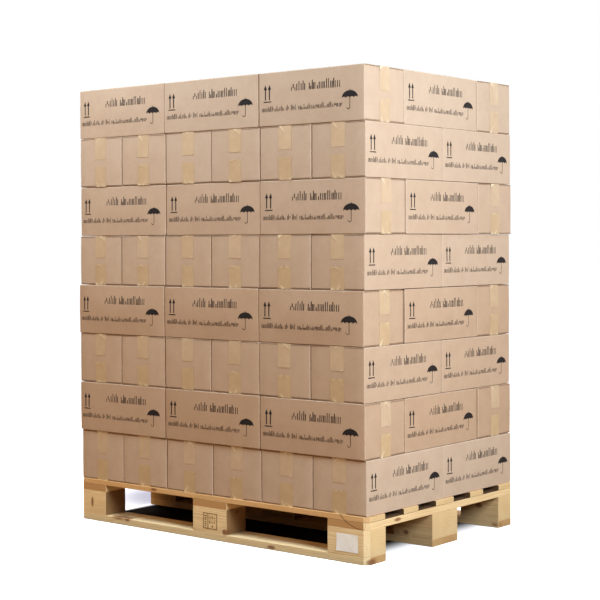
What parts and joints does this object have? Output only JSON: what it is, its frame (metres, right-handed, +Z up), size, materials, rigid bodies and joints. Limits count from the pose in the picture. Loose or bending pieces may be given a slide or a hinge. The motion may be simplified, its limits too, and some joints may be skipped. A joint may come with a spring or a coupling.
{
  "type": "pallet load of cartons",
  "caption": "Closed brown cartons stacked in interlocked layers on a flat wooden pallet with fork entries on all four sides.",
  "frame": {"origin": "on the floor, under the middle of the pallet's footprint", "axes": "+Z up, X along the pallet's long side, Y along its short side, -Y towards the side with the paper label"},
  "size_m": [1.2, 0.8004, 1.4356],
  "materials": {
    "corrugated_board": "brown kraft corrugated board, matte",
    "sealing_tape": "thin translucent tan packing tape, satin gloss",
    "sawn_pine": "rough sawn pine and spruce, untreated",
    "nail_steel": "plain steel, dull",
    "label_paper": "blank white paper label"
  },
  "bodies": {
    "root": {"top_board_1": "sawn_pine", "top_board_2": "sawn_pine", "top_board_3": "sawn_pine", "top_board_4": "sawn_pine", "top_board_5": "sawn_pine", "cross_board_left": "sawn_pine", "cross_board_middle": "sawn_pine", "cross_board_right": "sawn_pine", "block_front_left": "sawn_pine", "block_front_middle": "sawn_pine", "block_front_right": "sawn_pine", "block_middle_left": "sawn_pine", "block_middle_middle": "sawn_pine", "block_middle_right": "sawn_pine", "block_back_left": "sawn_pine", "block_back_middle": "sawn_pine", "block_back_right": "sawn_pine", "bottom_board_front": "sawn_pine", "bottom_board_middle": "sawn_pine", "bottom_board_back": "sawn_pine", "nails": "nail_steel", "paper_label": "label_paper", "layer_1_cartons": "corrugated_board", "layer_2_cartons": "corrugated_board", "layer_3_cartons": "corrugated_board", "layer_4_cartons": "corrugated_board", "layer_5_cartons": "corrugated_board", "layer_6_cartons": "corrugated_board", "layer_7_cartons": "corrugated_board", "layer_8_cartons": "corrugated_board", "layer_1_tapes": "sealing_tape", "layer_2_tapes": "sealing_tape", "layer_3_tapes": "sealing_tape", "layer_4_tapes": "sealing_tape", "layer_5_tapes": "sealing_tape", "layer_6_tapes": "sealing_tape", "layer_7_tapes": "sealing_tape", "layer_8_tapes": "sealing_tape"}
  },
  "joints": []
}
